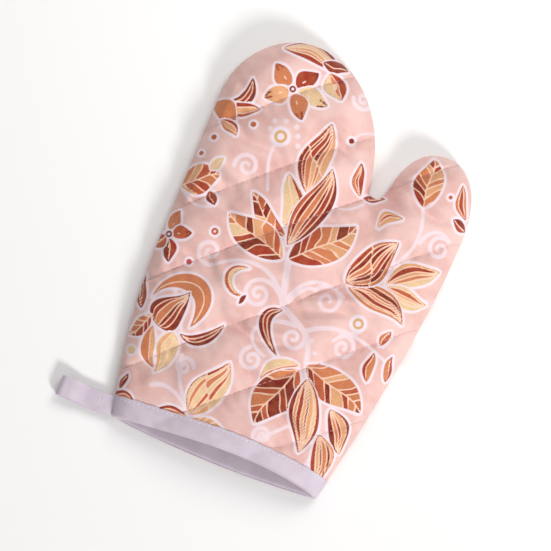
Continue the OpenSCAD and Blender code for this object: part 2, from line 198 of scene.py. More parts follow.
# Soft creases that run across the palm: start, end, depth and width
CREASES = [
    ((-30, 79), (20, 83), 1.3, 3.6), ((10, 110), (54, 115), 1.5, 3.8), ((30, 134), (78, 130), 1.4, 3.6),
    ((-78, 40), (-30, 46), 0.9, 4.2), ((-10, 58), (30, 52), 0.9, 4.0), ((-70, 118), (-40, 108), 1.0, 3.6),
    ((-82, 172), (-48, 166), 1.2, 3.6), ((-66, 205), (-30, 196), 1.0, 3.8), ((-20, 222), (12, 216), 1.1, 3.4),
    ((-78, 236), (-52, 228), 0.9, 3.4), ((-5, 178), (24, 170), 0.9, 3.6), ((52, 205), (86, 198), 0.9, 3.4),
    ((48, 160), (90, 158), 0.8, 3.6), ((20, 36), (62, 30), 1.0, 4.2), ((-62, 150), (-20, 142), 0.8, 3.4),
]


def creases(x, y):
    """Sum of soft valleys with a low ridge beside each, fading towards the ends of its line."""
    total = np.zeros(np.shape(x))
    for (ax, ay), (bx, by), depth, width in CREASES:
        dx, dy = bx - ax, by - ay
        length = math.hypot(dx, dy)
        along = ((x - ax) * dx + (y - ay) * dy) / length ** 2
        off = (-(x - ax) * dy + (y - ay) * dx) / length
        off = off - 2.5 * np.sin(along * 5 + ax)
        fade = smooth(along * 3 + 0.35) * smooth((1 - along) * 3 + 0.35)
        ridge = 0.55 * np.exp(-((off - 1.9 * width) / width) ** 2)
        total += fade * depth * (ridge - np.exp(-(off / width) ** 2))
    return total


def waves(x, y, seed):
    """Low uneven swells: four sine waves in different directions."""
    total = np.zeros(np.shape(x))
    for k in range(4):
        turn = seed + 1.9 * k
        total += np.sin((x * math.cos(turn) + y * math.sin(turn)) / (9 + 4 * k) + 2.3 * seed * k)
    return total / 4


pinch = soft_bend(row_q, 6.5)
pucker = np.sin(2 * math.pi * quilt_s / 8.5 + 1.7 * np.sin(quilt_s / 19) + 2.4 * row_number)
row_reach = 0.45 + 0.55 * smooth(deep / 16)
under_tape = smooth((TAPE_W + 2.5 - V) / 3)
loose = smooth((deep - 2) / 8) * (1 - under_tape)

# Palm side: cover and lining
flatter = 1 - 0.35 * smooth((5 - U) / 60) * smooth((95 - V) / 85)
inside_z = WALL_T + room(U, V, deep) * flatter
cover_z = inside_z + LINING_T + WADDING_T * (0.25 + 0.75 * smooth(deep / 9)) + COVER_T
near_row = soft_bend(row_q, 6.0) * (1 - 0.8 * soft_bend(row_q, 0.8))
relief = (-3.2 * row_reach * pinch - 0.6 * np.exp(-(row_q / 1.1) ** 2) + 0.5 * pucker * near_row) * (
    1 - 0.6 * under_tape) + loose * (2.0 * creases(U, V) + 0.7 * waves(U, V, 1.3))
edge_rise = np.sin(0.5 * math.pi * np.clip(edge_t * 1.7, 0, 1))
palm_z = mix(WALL_T, cover_z + relief - 0.9 * under_tape, edge_rise)
palm_z = np.where(deep <= 0, WALL_T, np.maximum(palm_z, WALL_T + 0.6 * edge_rise))
palm = panel(cover_plan, palm_slide, palm_z)

# Back side: it lies on its puffs, and the quilting rows stand clear of the surface
back_rise = np.sin(0.5 * math.pi * np.clip(edge_t * 1.3, 0, 1))
back_relief = 1.7 * row_reach * pinch + 0.35 * (1 + waves(U, V, 4.1)) * loose - 0.25 * pucker * soft_bend(
    row_q, 4.5) * (1 - 0.8 * soft_bend(row_q, 0.8))
back_z = mix(WALL_T, np.maximum(back_relief, 0.05) + 0.9 * under_tape, back_rise)
back = panel(cover_plan, back_slide, back_z)


# ---------------------------------------------------------------- cloth simulation of the palm and the back
COARSE, SETTLE_PASSES, MOMENTS = 4, 2, 20


def spread(values, shape):
    """A coarse grid's values on the fine grid, by Catmull-Rom curves along both directions."""
    def weights(n, m):
        at = np.minimum(np.arange(n) / COARSE, m - 1)
        base = np.floor(at).astype(int)
        f = at - base
        w = np.zeros((n, m))
        for k, part in ((-1, -0.5 * f + f ** 2 - 0.5 * f ** 3), (0, 1 - 2.5 * f ** 2 + 1.5 * f ** 3),
                        (1, 0.5 * f + 2 * f ** 2 - 1.5 * f ** 3), (2, -0.5 * f ** 2 + 0.5 * f ** 3)):
            np.add.at(w, (np.arange(n), np.clip(base + k, 0, m - 1)), part)
        return w
    wy, wx = weights(shape[0], values.shape[0]), weights(shape[1], values.shape[1])
    return np.einsum("ia,abk,jb->ijk", wy, values, wx, optimize=True)


def grid_faces(keep, flip=False):
    """Faces of the grid cells whose corners are all kept, with a triangle where three are."""
    index = np.cumsum(keep).reshape(keep.shape) - 1
    a, b, c, d = index[:-1, :-1], index[:-1, 1:], index[1:, 1:], index[1:, :-1]
    ka, kb, kc, kd = keep[:-1, :-1], keep[:-1, 1:], keep[1:, 1:], keep[1:, :-1]
    faces = np.stack([a, b, c, d], -1)[ka & kb & kc & kd].tolist()
    for corners, mask in (((b, c, d), ~ka & kb & kc & kd), ((a, c, d), ka & ~kb & kc & kd),
                          ((a, b, d), ka & kb & ~kc & kd), ((a, b, c), ka & kb & kc & ~kd)):
        faces += np.stack(corners, -1)[mask].tolist()
    return [f[::-1] for f in faces] if flip else faces


def new_mesh(name, points, faces):
    """A smooth-shaded mesh object of points in mitt millimetres."""
    mesh = bpy.data.meshes.new(name)
    mesh.from_pydata(to_frame(points).tolist(), [], faces)
    mesh.update()
    mesh.shade_smooth()
    thing = bpy.data.objects.new(name, mesh)
    bpy.context.scene.collection.objects.link(thing)
    return thing


def puffed(points, flip, spare, pressure, cap):
    """How far the air and the spare cloth between the quilting rows move each place of a panel, in mm,
    and cap at most.

    A coarse copy of the panel is held along its seams and rows, and Blender's Cloth swells the rest."""
    rest = points[::COARSE, ::COARSE]
    far, q = seam_far[::COARSE, ::COARSE], row_q[::COARSE, ::COARSE]
    keep = far > 0.6
    pad = new_mesh("settling", rest[keep], grid_faces(keep, flip))
    hold = np.clip(np.maximum(1 - (far - 3) / 5, np.exp(-(q / 2.6) ** 2) * 1.05), 0, 1)
    hold = np.maximum(hold, smooth((TAPE_W + 10 - V[::COARSE, ::COARSE]) / 8))[keep]
    group = pad.vertex_groups.new(name="held")
    levels = 20
    for level in range(1, levels + 1):
        chosen = np.nonzero(np.round(hold * levels).astype(int) == level)[0]
        group.add(chosen.tolist(), level / levels, "REPLACE")
    cloth = pad.modifiers.new("Cloth", "CLOTH")
    facts = dict(quality=5, mass=0.25, tension_stiffness=15, compression_stiffness=15, shear_stiffness=8,
                 bending_stiffness=6, shrink_min=-spare, shrink_max=-spare, use_pressure=True,
                 uniform_pressure_force=pressure, vertex_group_mass="held", pin_stiffness=1.2)
    for name, value in facts.items():
        setattr(cloth.settings, name, value)
    cloth.settings.effector_weights.gravity = 0
    cloth.point_cache.frame_start, cloth.point_cache.frame_end = 1, 24
    for moment in range(1, MOMENTS + 1):
        bpy.context.scene.frame_set(moment)
    shaped = pad.evaluated_get(bpy.context.evaluated_depsgraph_get()).data
    now = np.empty(len(shaped.vertices) * 3)
    shaped.vertices.foreach_get("co", now)
    shift = now.reshape(-1, 3) * 1000 + ORIGIN - rest[keep]
    size = np.linalg.norm(shift, axis=1, keepdims=True)
    shift = shift * np.minimum(1, cap / np.maximum(size, 1e-6))
    bpy.context.scene.frame_set(1)
    bpy.data.objects.remove(pad)
    moved = np.zeros(rest.shape)
    moved[keep] = shift * (1 - hold[:, None])
    for _ in range(SETTLE_PASSES):
        for axis in (0, 1):
            moved = (np.roll(moved, 1, axis) + 2 * moved + np.roll(moved, -1, axis)) / 4
    return spread(moved, points.shape[:2])


free = smooth((deep - 2) / 6)[..., None]
palm = palm + puffed(palm, False, spare=0.05, pressure=3.0, cap=5.0) * free
back = back + puffed(back, True, spare=0.03, pressure=-0.2, cap=2.5) * free
back[..., 2] = np.maximum(back[..., 2], 0.05)

# The cover stays clear of the lining under it
least = mix(WALL_T, inside_z + 1.1, smooth((deep - 1) / 5))
spare_z = palm[..., 2] - least
palm[..., 2] = least + spare_z / 2 + np.sqrt(spare_z ** 2 + 0.36 * edge_rise) / 2

# ---------------------------------------------------------------- the printed pattern
# Inks by letter: dark red, red, rust, orange, sand, cream, ochre and pink
INKS = dict(D="#841F17", R="#A53424", U="#C05A3A", O="#D48258", S="#E7AE80", C="#EFD1A4", H="#E0B47C",
            P="#B8304A")
GAP, NO_VEIN = 1.3, 9.0


def linear(hex_colour):
    """An sRGB hex colour as linear values."""
    s = np.array([int(hex_colour[k:k + 2], 16) for k in (1, 3, 5)]) / 255
    return np.where(s <= 0.04045, s / 12.92, ((s + 0.055) / 1.055) ** 2.4)


class Cloth:
    """What is printed at each place of a panel.

    leaf is how far inside a printed shape a place is, in mm; ink is the shape's colour there; vein is the
    distance to the shape's nearest pale line; curl is how far inside a white curl it is. Shapes take their
    inks as letters."""

    def __init__(self, x, y):
        self.x, self.y = x, y
        self.leaf = np.full(x.shape, -9.0)
        self.vein = np.full(x.shape, NO_VEIN)
        self.curl = np.full(x.shape, -9.0)
        self.ink = np.broadcast_to(linear(INKS["U"]), x.shape + (3,)).copy()

    def near(self, line, reach):
        """The block of the grid round a line of points, as a mask."""
        low, high = np.min(line, axis=0) - reach, np.max(line, axis=0) + reach
        return (self.x > low[0]) & (self.x < high[0]) & (self.y > low[1]) & (self.y < high[1])

    def lay(self, block, inside, inks, vein):
        """Prints a shape over what is there, with a gap round it."""
        under = np.minimum(self.leaf[block], -inside - GAP)
        own = inside > -GAP / 2
        self.leaf[block] = np.maximum(np.where(inside > -GAP, under, self.leaf[block]), inside)
        self.ink[block] = np.where(own[:, None], inks, self.ink[block])
        self.vein[block] = np.where(own, vein, self.vein[block])


def tones(inks, strip, shade):
    """The ink of each place by the number of its strip, times its shade."""
    colours = np.array([linear(INKS[letter]) for letter in inks])
    return colours[strip % len(colours)] * shade[:, None]


def long_veins(phase, half, count):
    """Distance to the pale lines between count strips that follow a shape's length, none at its edges."""
    vein = np.abs(phase - np.round(phase)) * 2 * np.maximum(half, 0.2) / count
    return np.where((phase < 0.5) | (phase > count - 0.5), NO_VEIN, vein)


def leaf(cloth, ends, width, inks, bend=0.0, veins="feather", count=6, full=0.9, cross=0, point=0.85):
    """A pointed leaf from its base to its tip.

    Its half width follows the sine of s to the power full, raised to the power point, and its middle line
    bows sideways by bend times its length. Feather veins slope out from the middle line; long veins follow
    the sides, and where a line crosses the leaf, its colours move on by cross."""
    base, tip = np.array(ends, float)
    length = np.hypot(*(tip - base))
    (ux, uy), (bx, by) = (tip - base) / length, base
    block = cloth.near(ends, width + abs(bend) * length + 3)
    x, y = cloth.x[block] - bx, cloth.y[block] - by
    s = (x * ux + y * uy) / length
    held = np.clip(s, 0.001, 0.999)
    own = bx * 0.7 + tip[1] * 0.3  # a start of its own for each leaf's waves
    sway = 0.028 * math.copysign(1, math.sin(own)) * length * np.sin(2 * math.pi * held ** 1.3)
    r = -x * uy + y * ux - bend * length * 4 * held * (1 - held) - sway
    half = width / 2 * np.sin(math.pi * held ** full) ** point
    steps = np.linspace(0.001, 0.999, 60)
    tilt = np.gradient(width / 2 * np.sin(math.pi * steps ** full) ** point, length / 59)
    lean = np.interp(held, steps, tilt)
    inside = (half - np.abs(r)) / np.sqrt(1 + lean ** 2) - np.abs(s - held) * length
    if veins == "feather":
        pitch = length / count
        raw = (s * length - np.abs(r) * 1.1 + r * r / width * 0.5) / pitch + 0.35 * (r > 0)
        phase = raw + 0.2 * np.sin(2.6 * raw + own) + 0.07 * np.sin(r * 0.55 + own + 2 * raw)
        steep = np.hypot(1.0, 1.1 - np.minimum(np.abs(r) / width, 0.5)) * (1 + 0.5 * np.cos(2.6 * raw + own))
        vein = np.minimum(np.abs(phase - np.round(phase)) * pitch / steep, np.abs(r))
        strip = np.floor(phase).astype(int) * 2 + (r > 0)
    else:
        across = r / np.maximum(half, 0.2)
        flow = 0.1 * np.sin(5.2 * s + own) + 0.06 * np.sin(11 * s + 2 * own)
        raw = (across + flow * (1 - across ** 2) + 1) / 2 * count
        phase = raw + 0.17 * np.sin(2.1 * raw + own)
        vein = long_veins(phase, half, count) / (1 + 0.35 * np.cos(2.1 * raw + own))
        strip = np.floor(phase).astype(int)
    if cross:
        over = s * length - 0.45 * length - r * 0.9 + 0.8 * np.sin(r * 0.6)
        vein = np.minimum(vein, np.abs(over) * 0.74)
        strip = strip + cross * (over > 0)
    cloth.lay(block, inside, tones(inks, strip, 1.06 - 0.18 * held), vein)


def arch(cloth, points, width, inks, count=3, full=0.85):
    """A curved slip along a cubic curve: its half width follows the sine of its length to the power full,
    and pale lines follow its length."""
    steps = 24
    line = bezier(points, steps)
    block = cloth.near(line, width + 3)
    x, y = cloth.x[block], cloth.y[block]
    best, along, side = np.full(x.shape, 1e9), np.zeros(x.shape), np.zeros(x.shape)
    for k, ((ax, ay), (bx, by)) in enumerate(zip(line[:-1], line[1:])):
        dx, dy = bx - ax, by - ay
        t = np.clip(((x - ax) * dx + (y - ay) * dy) / (dx * dx + dy * dy), 0, 1)
        d = np.hypot(x - ax - t * dx, y - ay - t * dy)
        nearer = d < best
        best = np.where(nearer, d, best)
        along = np.where(nearer, (k + t) / steps, along)
        side = np.where(nearer, np.sign(dx * (y - ay) - dy * (x - ax)), side)
    half = width / 2 * np.sin(math.pi * np.clip(along, 0.0005, 0.9995) ** full) ** 0.8
    phase = (side * best / np.maximum(half, 0.2) + 1) / 2 * count + 0.15 * np.sin(7 * along)
    tone = tones(inks, np.floor(phase).astype(int), 1.1 - 0.2 * along)
    cloth.lay(block, half - best, tone, long_veins(phase, half, count))


def dot(cloth, at, r, ink, ring=0):
    """A round spot, or a ring round a bare middle whose radius is ring."""
    at = np.array(at, float)
    block = cloth.near(at[None], r + 3)
    d = np.hypot(cloth.x[block] - at[0], cloth.y[block] - at[1])
    inside = np.minimum(r - d, d - ring) if ring else r - d
    cloth.lay(block, inside, np.broadcast_to(linear(INKS[ink]), d.shape + (3,)), np.full(d.shape, NO_VEIN))


def mark(cloth, line, half):
    """A pale painted mark on a shape: everything within half of a line of points."""
    line = np.asarray(line, float)
    block = cloth.near(line, half + 2)
    apart = line_distance(line, cloth.x[block], cloth.y[block]) - half
    cloth.vein[block] = np.minimum(cloth.vein[block], np.maximum(apart + 0.48, 0))


def flourish(cloth, line, thick=1.0, thin=0.6):
    """A white painted line along points, tapering from thick to thin half widths."""
    line = np.asarray(line, float)
    block = cloth.near(line, thick + 2)
    x, y = cloth.x[block], cloth.y[block]
    best = np.full(x.shape, -9.0)
    for k, half in enumerate(np.linspace(thick, thin, len(line) - 1)):
        best = np.maximum(best, half - line_distance(line[k:k + 2], x, y))
    cloth.curl[block] = np.maximum(cloth.curl[block], best)


def spiral(cloth, at, r, start, hand=1):
    """A white curl of 1.45 turns: its radius shrinks evenly as it turns, from the angle start in degrees."""
    f = np.linspace(0, 1, 31)
    turn = math.radians(start) + hand * 2 * math.pi * 1.45 * f
    rad = r * (1 - 0.86 * f)
    flourish(cloth, np.stack([at[0] + rad * np.cos(turn), at[1] + rad * np.sin(turn)], 1), 1.4, 1.05)


def spot(cloth, at, r):
    """A white painted spot."""
    flourish(cloth, [at, (at[0] + 0.1, at[1])], r, r)


def ink_line(cloth, line, half, ink):
    """A short stroke of another ink, laid within the shape that is there."""
    line = np.asarray(line, float)
    block = cloth.near(line, half + 2)
    on = (line_distance(line, cloth.x[block], cloth.y[block]) < half)[:, None]
    cloth.ink[block] = np.where(on, linear(INKS[ink]), cloth.ink[block])


def ring_flower(cloth, at, r):
    """A pale round flower head: a white ring, an ochre ring and a white eye."""
    turn = np.linspace(0, 2 * math.pi, 26)
    flourish(cloth, np.stack([at[0] + 0.9 * r * np.cos(turn), at[1] + 0.9 * r * np.sin(turn)], 1), 1.5, 1.5)
    spot(cloth, at, 0.5 * r)
    dot(cloth, at, 0.7 * r, "H", 0.38 * r)


def flower(cloth, at, petals, width):
    """Petals round a dark ring. petals lists each petal's tip, inks and the ink of its tip."""
    for tip, inks, end in petals:
        start = np.array(at) + 0.14 * (np.array(tip, float) - at)
        leaf(cloth, (start, tip), width, inks, 0.04, "long", len(inks), 0.8)
        drop = [start + f * (tip - start) for f in (0.28, 0.4)]
        mark(cloth, drop, 0.045 * width)
        along, across = 0.72 * (tip - start), np.array([start[1] - tip[1], tip[0] - start[0]])
        for side in (-0.14, 0.06):
            edge = start + along + side * across
            ink_line(cloth, [edge, edge + 0.24 * (tip - start) - 0.6 * side * across], 0.05 * width, end)
    dot(cloth, at, 2.3, "D", 1.0)


def lay_all(cloth, shapes):
    """Leaves, given by two ends, and slips, given by four curve points, each laid over the ones before."""
    for points, *look in shapes:
        (leaf if len(points) == 2 else arch)(cloth, points, *look)


def print_pattern(cloth):
    """The leaves, flowers and curls, placed over one mitt's length of cloth."""
    # Curls and stems first, so that the leaves lie over them
    for at, r, start, hand in (
            ((-52, 190), 8.5, 200, -1), ((-53, 128), 9, 300, -1), ((-13, 114), 9, 150, 1),
            ((31, 127), 10.5, 160, -1), ((19, 96), 8.5, 60, -1), ((52, 102), 8.5, 120, -1),
            ((-1, 73), 8, 120, 1), ((88, 187), 8.5, 60, 1), ((4, 262), 7.5, 190, 1), ((-40, 52), 6.5, 20, 1),
            ((24, 30), 6, 210, -1)):
        spiral(cloth, at, r, start, hand)
    for thick, thin, *stems in (
            (2.3, 1.9, ((-3, 142), (1, 128), (2, 120), (5, 113))),
            (2.0, 1.6, ((5, 113), (18, 104), (30, 106), (33, 84))),
            (1.5, 1.0, ((4, 114), (-8, 136), (-30, 136), (-46, 122)),
             ((3, 116), (-6, 128), (-22, 126), (-22, 113)), ((5, 113), (8, 134), (22, 142), (40, 133)),
             ((6, 114), (10, 124), (16, 133), (21, 130)),
             ((26, 104), (44, 118), (62, 112), (84, 103)), ((18, 104), (-8, 104), (-16, 84), (6, 78)),
             ((74, 186), (76, 194), (82, 200), (90, 196)), ((58, 116), (54, 112), (48, 110), (44, 104)),
             ((-55, 33), (-46, 40), (-34, 33), (-27, 26)), ((-44, 58), (-42, 44), (-34, 34), (-27, 28)),
             ((18, 21), (22, 26), (27, 32), (38, 42)), ((60, 30), (56, 22), (58, 18), (66, 14)),
             ((-66, 98), (-60, 92), (-54, 80), (-50, 72))),
            (1.2, 1.0, ((67, 210), (72, 196), (76, 182), (63, 166))),
            (1.1, 0.9, ((-40, 211), (-42, 200), (-38, 192), (-33, 180))),
            (0.9, 1.0, ((-84, 158), (-76, 152), (-68, 152), (-62, 158))),
            (0.9, 0.7, ((30, 196), (22, 188), (18, 184), (6, 190))),
            (0.8, 0.6, ((7, 233), (8, 238), (13, 242), (20, 244)))):
        for stem in stems:
            flourish(cloth, bezier(stem, 18), thick, thin)
    ring_flower(cloth, (-38.5, 216.5), 6.2)
    ring_flower(cloth, (55.5, 120.5), 5.2)
    for at in ((-46, 225), (-39, 227.5), (-31, 226.5), (-28, 221), (-47, 219), (-25.5, 215)):
        spot(cloth, at, 1.7)
    for at in ((31, 99), (36, 92), (43, 88)):
        spot(cloth, at, 1.3)
    lay_all(cloth, (
        # Spray in the middle
        (((-14, 162), (-24, 196)), 14, "RCC", -0.12, "long", 3),
        (((-11, 156), (-42, 175.5)), 12.5, "UDORDSUDOR", 0.08, "feather", 5),
        (((-7, 141.5), (-51, 156.5)), 23, "UDORSDDROCSO", 0.02),
        (((-3, 143), (31, 180)), 25, "RDOROUSOOSSDOU", -0.05, "feather", 7),
        (((-8.5, 188), (-10, 238)), 20, "SOSORDSODRDR", 0.03, "long", 6, 0.85, 6),
        (((-7.5, 151), (1.5, 210)), 20, "DRDODU", -0.06, "long", 6, 0.95),
        # Spray by the thumb
        (((63, 151), (94, 173)), 16, "COSRS", 0.05, "long", 5),
        (((64, 150), (94, 149)), 13, "CCSUC", -0.08, "long", 5),
        (((40, 141), (83.5, 130.5)), 16, "OSROUDO", 0.12, "long", 7),
        (((38, 142.5), (61, 180.5)), 22, "DODRODRO", -0.02, "long", 7, 0.85, 1),
        # Spray above the cuff
        (((34, 82.5), (79, 66.5)), 22, "DOUODSSORUOODU", 0.04, "feather", 7),
        (((29, 81), (9, 63)), 10, "CO", -0.16, "long", 2),
        (((30, 78), (16, 35.5)), 26, "OUDDURODUURD", -0.04),
        (((38, 75), (50, 28)), 20, "DORSDSCR", 0.03, "long", 8),
        (((59, 62), (76, 36)), 14, "DORSD", 0.08, "long", 5),
        (((59, 44), (70, 14)), 15, "RSDODS", 0.05, "long"),
        # Bud and petals at the little-finger side
        (((-77, 86), (-73, 110), (-33, 113), (-46, 77)), 12.5, "OO", 2, 1.35),
        (((-67, 70.5), (-54.5, 99)), 23, "DRDORD", 0, "long", 6, 0.5, 0, 1.1),
        (((-81, 76), (-87, 98)), 8, "RD", 0.1, "long", 3),
        (((-73, 75), (-83, 57)), 10, "OR", 0.1, "feather", 4),
        (((-51, 71), (-42, 66), (-31, 73), (-26, 87)), 7.5, "DRD", 3, 1.1),
        (((-69, 69), (-57.5, 43)), 9, "OS", -0.16, "long", 2),
        (((-55, 70), (-57, 41)), 14, "SCC", 0.06, "long", 3, 0.7, 0, 1.0)))
    flower(cloth, (-43.3, 250), (((-60.5, 262), "O", "R"), ((-31, 267), "R", "D"), ((-17, 248), "C", "D"),
                                 ((-29.5, 232), "O", "D"), ((-59, 237.5), "S", "D")), 12)
    flower(cloth, (-83, 128.5), (((-82, 146), "O", "U"), ((-68.5, 135), "U", "D"), ((-76, 111), "DR", "D"),
                                 ((-92, 116), "RU", "D")), 9)
    # Single leaves and slips
    lay_all(cloth, (
        (((-60, 275), (-15, 276)), 15, "ROSCUD", 0.08, "long"),
        (((-31, 275), (-13, 277)), 9, "DDR", 0, "long", 2),
        (((-24, 270), (-10, 255)), 15, "COR", 0, "long", 3),
        (((-83, 226), (-70, 227), (-66, 234), (-71, 247)), 8.5, "DRD", 3, 1.2),
        (((-81, 224), (-58, 229)), 9.5, "USR", -0.08, "long", 3),
        (((-90, 223), (-70, 213)), 14, "O", 0.08, "long", 1),
        (((-80, 213), (-66, 206)), 8, "OSR", 0.1, "long", 3),
        (((-89, 162), (-66.5, 178)), 20, "UORSO", 0.03, "feather", 4),
        (((-69, 165), (-62, 157.5)), 7, "DR", 0, "long", 2),
        (((-74, 179), (-68, 189)), 6, "CC", 0, "long", 2),
        (((25.5, 200), (18, 221.5)), 8, "RDO", 0.06, "long", 3),
        (((67.5, 209), (63.5, 243)), 19, "ORSDOUSORS"),
        (((98, 212), (87, 233.5)), 8, "OR", 0.1, "long", 3),
        (((101, 205), (89, 209)), 7, "DR", 0, "long", 2),
        (((44, 184.5), (57.5, 196.5)), 8, "SUS", 0.24, "long", 3),
        (((28, 199.8), (42.5, 205)), 5, "DR", 0, "long", 2),
        (((-24.8, 127.4), (-44, 124), (-33, 104), (-20.3, 109.8)), 5, "UC", 2, 0.8),
        (((-20, 110.5), (-22.5, 103)), 3, "D", 0, "long", 1),
        (((6, 110), (-8, 105), (-3, 92), (14, 81)), 8, "DRD", 3, 0.8),
        (((74.5, 87), (72.5, 107)), 7, "OR", 0.05, "long", 2),
        (((74.5, 112.5), (78, 124)), 6, "UO", 0.05, "long", 2),
        (((87, 91), (85, 109)), 6, "RO", 0.05, "long", 2),
        (((-25.5, 25), (-13, 66)), 21, "SCUCOCRS", -0.02, "long", 6, 0.8, 1),
        (((-26.5, 23), (-52, 14)), 8, "ROD", -0.06, "long", 3),
        (((-24.5, 21), (8, 20)), 8, "CS", 0.06),
        (((-76, 12), (-74, 20), (-66, 22), (-61, 15)), 7, "UOR"),
        (((-74, 22), (-72.5, 34)), 4, "DR", 0, "long", 2)))
    mark(cloth, [(-18, 264), (-17, 261.5)], 1.2)
    for at, r, ink, bare in (
            ((-58.5, 217.5), 1.9, "U", 0), ((-80, 200), 1.9, "U", 0), ((-84, 187), 1.6, "U", 0),
            ((6.5, 232.5), 1.9, "D", 0), ((-63.3, 116.5), 1.9, "P", 0), ((82, 222), 1.4, "U", 0),
            ((-55, 141.5), 2.4, "U", 0.9), ((-76.5, 48.5), 2.6, "C", 0)):
        dot(cloth, at, r, ink, bare)


def printed(points, turned):
    """The print over a panel, drawn out a little along its length where the panel stands high.

    The back is cut from the same cloth turned half round."""
    x = 1.02 * points[..., 0] + 0.24
    y = 1.005 * points[..., 1] + 0.177 * points[..., 2] + 1.6
    cloth = Cloth(14 - x, 286 - y) if turned else Cloth(x, y)
    print_pattern(cloth)
    return cloth


# ---------------------------------------------------------------- materials
def add(tree, kind, inputs=None, **settings):
    """Adds a shader node with its settings. inputs go to its sockets by name or number: another node's
    socket is linked, and a hex colour or a number is set."""
    node = tree.nodes.new("ShaderNode" + kind)
    for name, value in settings.items():
        setattr(node, name, value)
    for name, value in (inputs or {}).items():
        if isinstance(value, bpy.types.NodeSocket):
            tree.links.new(value, node.inputs[name])
        elif isinstance(value, str):
            node.inputs[name].default_value = (*linear(value).tolist(), 1.0)
        else:
            node.inputs[name].default_value = value
    return node


def new_material(name, **constants):
    """An empty node material whose shader has the given constants, joined to the output."""
    material = bpy.data.materials.new(name)
    material.use_nodes = True
    tree = material.node_tree
    tree.nodes.clear()
    shader = add(tree, "BsdfPrincipled", {key.replace("_", " "): value for key, value in constants.items()})
    add(tree, "OutputMaterial", {"Surface": shader.outputs[0]})
    return material, tree, shader


def dressed(material, tree, shader, shade, relief):
    """The material with its colour and its surface direction joined to its shader."""
    tree.links.new(shade, shader.inputs["Base Color"])
    tree.links.new(relief, shader.inputs["Normal"])
    return material


def tinted(tree, base, *tints):
    """Lays tints over a colour in turn. Each is (value, low, high, at_low, at_high, mode, tint): the tint's
    strength goes smoothly from at_low to at_high as the value rises from low to high."""
    for value, low, high, at_low, at_high, mode, tint in tints:
        strength = add(tree, "MapRange", {"Value": value, "From Min": low, "From Max": high, "To Min": at_low,
                                          "To Max": at_high}, interpolation_type="SMOOTHSTEP").outputs[0]
        base = add(tree, "Mix", {0: strength, 6: base, 7: tint}, data_type="RGBA", blend_type=mode).outputs[2]
    return base


def plain_weave(tree, where, pitch_mm):
    """Height of a plain weave from 0 to 1: warp and weft threads that take turns on top.

    0.25 * sin x * sin y + 0.375 * (|sin x| + |sin y|), with one half turn of x and y for each thread."""
    split = add(tree, "SeparateXYZ", {0: where})
    per_mm = math.pi / pitch_mm
    turns = [add(tree, "Math", {0: side, 1: per_mm}, operation="MULTIPLY") for side in split.outputs[:2]]
    swings = [add(tree, "Math", {0: turn.outputs[0]}, operation="SINE").outputs[0] for turn in turns]
    ribs = [add(tree, "Math", {0: swing}, operation="ABSOLUTE").outputs[0] for swing in swings]
    both = add(tree, "Math", {0: ribs[0], 1: ribs[1]}, operation="ADD")
    crossed = add(tree, "Math", {0: swings[0], 1: swings[1]}, operation="MULTIPLY")
    quarter = add(tree, "Math", {0: crossed.outputs[0], 1: 0.25}, operation="MULTIPLY")
    ends = {0: both.outputs[0], 1: 0.375, 2: quarter.outputs[0]}
    return add(tree, "Math", ends, operation="MULTIPLY_ADD").outputs[0]


def cotton_relief(tree, where, weave, depth_mm):
    """The surface direction of woven cotton: short fuzz 0.7 mm across under the threads' rise and fall."""
    fuzz = add(tree, "TexNoise", {"Vector": where, "Scale": 1 / 0.7, "Detail": 3, "Roughness": 0.7})
    nap = add(tree, "Bump", {"Height": fuzz.outputs["Fac"], "Distance": 0.0001, "Strength": 0.4})
    return add(tree, "Bump", {"Height": weave, "Distance": depth_mm / 1000, "Strength": 0.55,
                              "Normal": nap.outputs[0]}).outputs[0]


def printed_cotton():
    """Screen-printed plain-weave cotton: matte and dry, with soft washes of ink and a faint grain of threads.

    The threads are 0.35 mm apart on such cloth; they are drawn at 0.8 mm so that they just show."""
    made = new_material("printed woven cotton", Roughness=0.86, IOR=1.47, Specular_IOR_Level=0.3,
                        Sheen_Weight=0.18, Sheen_Roughness=0.5)
    tree = made[1]
    where, ink, inside, vein, curl = [
        add(tree, "Attribute", attribute_name=name).outputs[kind] for name, kind in (
            ("cloth", "Vector"), ("ink", "Color"), ("leaf", "Fac"), ("vein", "Fac"), ("curl", "Fac"))]
    wash, blot, streak = [
        add(tree, "TexNoise", {"Vector": where, "Scale": 1 / mm, "Detail": 3,
                               "Roughness": rough}).outputs["Fac"]
        for mm, rough in ((26, 0.55), (5, 0.6), (1.6, 0.65))]
    weave = plain_weave(tree, where, 0.8)
    ground = tinted(tree, "#DEB0A8", (wash, 0.34, 0.66, 0, 1, "MIX", "#EBC6BF"),
                    (blot, 0.35, 0.75, 0, 0.3, "MIX", "#EDCBC4"),
                    (curl, -0.7, 0.5, 0, 0.68, "MIX", "#EFE0E8"),
                    (inside, -2.4, -1.1, 0, 0.88, "MIX", "#EFE1E9"))
    ink = tinted(tree, ink, (blot, 0.3, 0.72, 0, 0.16, "MIX", "#EFA766"),
                 (streak, 0.35, 0.7, 0.16, 0, "MULTIPLY", "#8A3020"),
                 (vein, 0.34, 0.62, 0.95, 0, "MIX", "#F6CDB4"))
    shade = tinted(tree, ground, (inside, -0.28, 0.28, 0, 1, "MIX", ink),
                   (weave, 0.1, 0.9, 0.16, 0, "MULTIPLY", "#C9A9A6"))
    return dressed(*made, shade, cotton_relief(tree, where, weave, 0.12))


